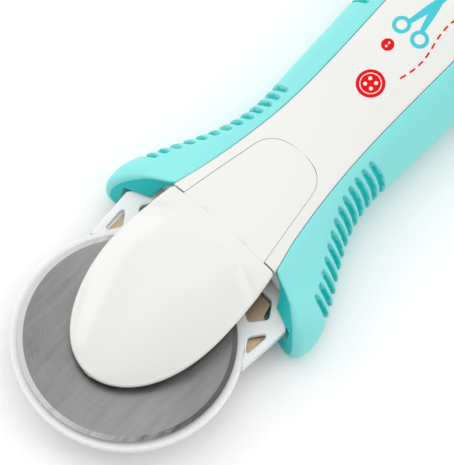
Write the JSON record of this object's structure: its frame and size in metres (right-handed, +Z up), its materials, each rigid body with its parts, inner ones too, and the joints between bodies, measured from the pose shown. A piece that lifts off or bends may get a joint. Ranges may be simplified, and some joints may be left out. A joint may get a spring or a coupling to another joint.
{
  "type": "rotary cutter",
  "caption": "Round-bladed fabric cutter with a domed head cover, a spring-back blade guard, flared grooved grips and a slim two-colour handle.",
  "frame": {"origin": "centre of the bounding box in plan, on the surface that the cutter lies on", "axes": "+X from the blade to the rear end of the handle, +Y to the left grip, +Z up through the head cover"},
  "size_m": [0.1778, 0.0558, 0.0213],
  "materials": {
    "mint_grip": "soft satin",
    "mint_knob": "satin",
    "white_shell": "satin gloss",
    "white_cover": "gloss",
    "guard_white": "gloss",
    "blade_steel": "fine ground",
    "steel_parts": "plated",
    "brass_insert": "turned"
  },
  "bodies": {
    "handle": {"upper_shell": "white_shell", "lower_shell": "white_shell", "grip_left": "mint_grip", "grip_right": "mint_grip", "head_cover": "white_cover", "cover_insert": "brass_insert", "blade_arm": "steel_parts", "hub_bush": "guard_white", "blade_washer": "steel_parts", "spring_washer": "steel_parts", "guard_spring": "steel_parts", "lock_detent_spring": "steel_parts", "shell_screw_1": "steel_parts", "shell_screw_2": "steel_parts", "shell_screw_3": "steel_parts", "shell_screw_4": "steel_parts", "arm_screw_front": "steel_parts", "arm_screw_rear": "steel_parts"},
    "guard": {"blade_guard": "guard_white"},
    "blade": {"blade": "blade_steel"},
    "axle_bolt": {"axle_bolt": "steel_parts", "bolt_knob": "mint_knob"},
    "lock": {"lock_button": "mint_knob", "lock_clip": "guard_white"}
  },
  "joints": [
    {"name": "blade_spin", "type": "hinge", "parent": "handle", "child": "blade", "pos_m": [-0.06488, 0, 0.009], "axis": [0, 0, 1], "continuous": true},
    {"name": "guard_slide", "type": "slide", "parent": "handle", "child": "guard", "axis": [1, 0, 0], "range_m": [0, 0.007], "stiffness_N_per_m": 300, "springref_m": -0.004, "deforming": ["guard_spring"]},
    {"name": "lock_slide", "type": "slide", "parent": "handle", "child": "lock", "axis": [0, 1, 0], "range_m": [0, 0.0025]},
    {"name": "axle_bolt_turn", "type": "hinge", "parent": "handle", "child": "axle_bolt", "pos_m": [-0.06488, 0, 0.002], "axis": [0, 0, 1], "continuous": true}
  ]
}
